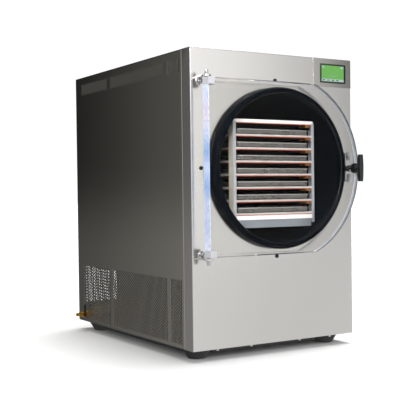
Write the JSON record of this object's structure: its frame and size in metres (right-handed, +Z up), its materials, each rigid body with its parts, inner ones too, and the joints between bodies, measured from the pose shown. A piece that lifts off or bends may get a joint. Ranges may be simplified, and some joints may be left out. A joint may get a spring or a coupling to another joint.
{
  "type": "cabinet freeze dryer",
  "caption": "Stainless cabinet freeze dryer with a thick clear hinged door on a round vacuum chamber, a heated tray rack, punched side vents and a touch screen.",
  "frame": {"origin": "on the floor under the middle of the whole box", "axes": "+X to the right as seen from the front, +Y to the back, +Z up; the door faces -Y"},
  "size_m": [0.6572, 0.974, 0.9382],
  "materials": {
    "black_enamel": "black powder coat",
    "black_rubber": "black moulded rubber",
    "stainless": "brushed stainless sheet",
    "zinc": "zinc plated steel",
    "dark_drum": "dark, smooth drum wall",
    "copper": "copper tube",
    "foam": "rigid insulating foam",
    "galvanised": "galvanised sheet",
    "silicone_mat": "orange red silicone heater mat",
    "amber_tape": "amber polyimide tape",
    "white_enamel": "white powder coat",
    "anodised": "clear anodised aluminium",
    "acrylic": "clear cast acrylic",
    "acetal": "white acetal",
    "stainless_bright": "bright stainless strip",
    "black_screw": "black oxide steel",
    "black_plastic": "black moulded plastic",
    "screen_glass": "lit screen under glass",
    "fin_aluminium": "bare fin aluminium",
    "steel_tube": "bare stainless tube",
    "brass": "brass",
    "red_plastic": "red moulded plastic",
    "tray_steel": "pressed stainless tray"
  },
  "bodies": {
    "cabinet": {"base_pan": "black_enamel", "feet": "black_rubber", "front_panel": "stainless", "hem_screws": "zinc", "left_side_panel": "stainless", "right_side_panel": "stainless", "top_panel": "stainless", "rear_panel": "stainless", "drum": "dark_drum", "gasket": "black_rubber", "evaporator_coil": "copper", "insulation_jacket": "foam", "machine_deck": "galvanised", "heater_mats": "silicone_mat", "heater_leads": "amber_tape", "rack_posts": "white_enamel", "rack_base": "anodised", "hinge_brackets": "stainless_bright", "pivot_bolts": "zinc", "hinge_screws": "zinc", "flange_screws": "black_screw", "latch_keeper": "stainless_bright", "screen_plate": "stainless", "touch_screen": "screen_glass", "control_box": "galvanised", "compressor": "black_enamel", "compressor_grommets": "black_rubber", "condenser_coil": "fin_aluminium", "fan_shroud": "black_enamel", "fan_motor": "galvanised", "refrigerant_lines": "copper", "filter_drier": "copper", "drain_pipe": "steel_tube", "drain_valve": "brass", "vacuum_port": "steel_tube", "power_inlet": "black_plastic", "switch_housing": "black_plastic", "shelf_1": "white_enamel", "shelf_2": "anodised", "shelf_3": "anodised", "shelf_4": "anodised", "shelf_5": "anodised", "shelf_6": "anodised", "shelf_7": "anodised", "shelf_8": "anodised", "tray_1": "tray_steel", "tray_2": "tray_steel", "tray_3": "tray_steel", "tray_4": "tray_steel", "tray_5": "tray_steel", "tray_6": "tray_steel", "tray_7": "tray_steel"},
    "door": {"door": "acrylic", "hinge_blocks": "acetal"},
    "latch": {"latch_shaft": "black_plastic", "latch_handle": "black_plastic", "latch_pawl": "black_screw"},
    "fan": {"fan_blades": "black_plastic"},
    "drain_tap": {"drain_lever": "black_plastic"},
    "mains_rocker": {"power_rocker": "red_plastic"}
  },
  "joints": [
    {"name": "door_swing", "type": "hinge", "parent": "cabinet", "child": "door", "pos_m": [-0.255, -0.42401, 0.58], "axis": [0, 0, -1], "range_deg": [0, 120]},
    {"name": "latch_turn", "type": "hinge", "parent": "door", "child": "latch", "pos_m": [0.286, -0.44901, 0.58], "axis": [0, 1, 0], "range_deg": [0, 90]},
    {"name": "fan_spin", "type": "hinge", "parent": "cabinet", "child": "fan", "pos_m": [-0.2201, -0.03501, 0.14], "axis": [1, 0, 0], "continuous": true},
    {"name": "drain_valve_turn", "type": "hinge", "parent": "cabinet", "child": "drain_tap", "pos_m": [-0.3026, 0.38801, 0.062], "axis": [0, -1, 0], "range_deg": [0, 90]},
    {"name": "power_switch", "type": "hinge", "parent": "cabinet", "child": "mains_rocker", "pos_m": [0.15, 0.45501, 0.334], "axis": [1, 0, 0], "range_deg": [0, 20]}
  ]
}
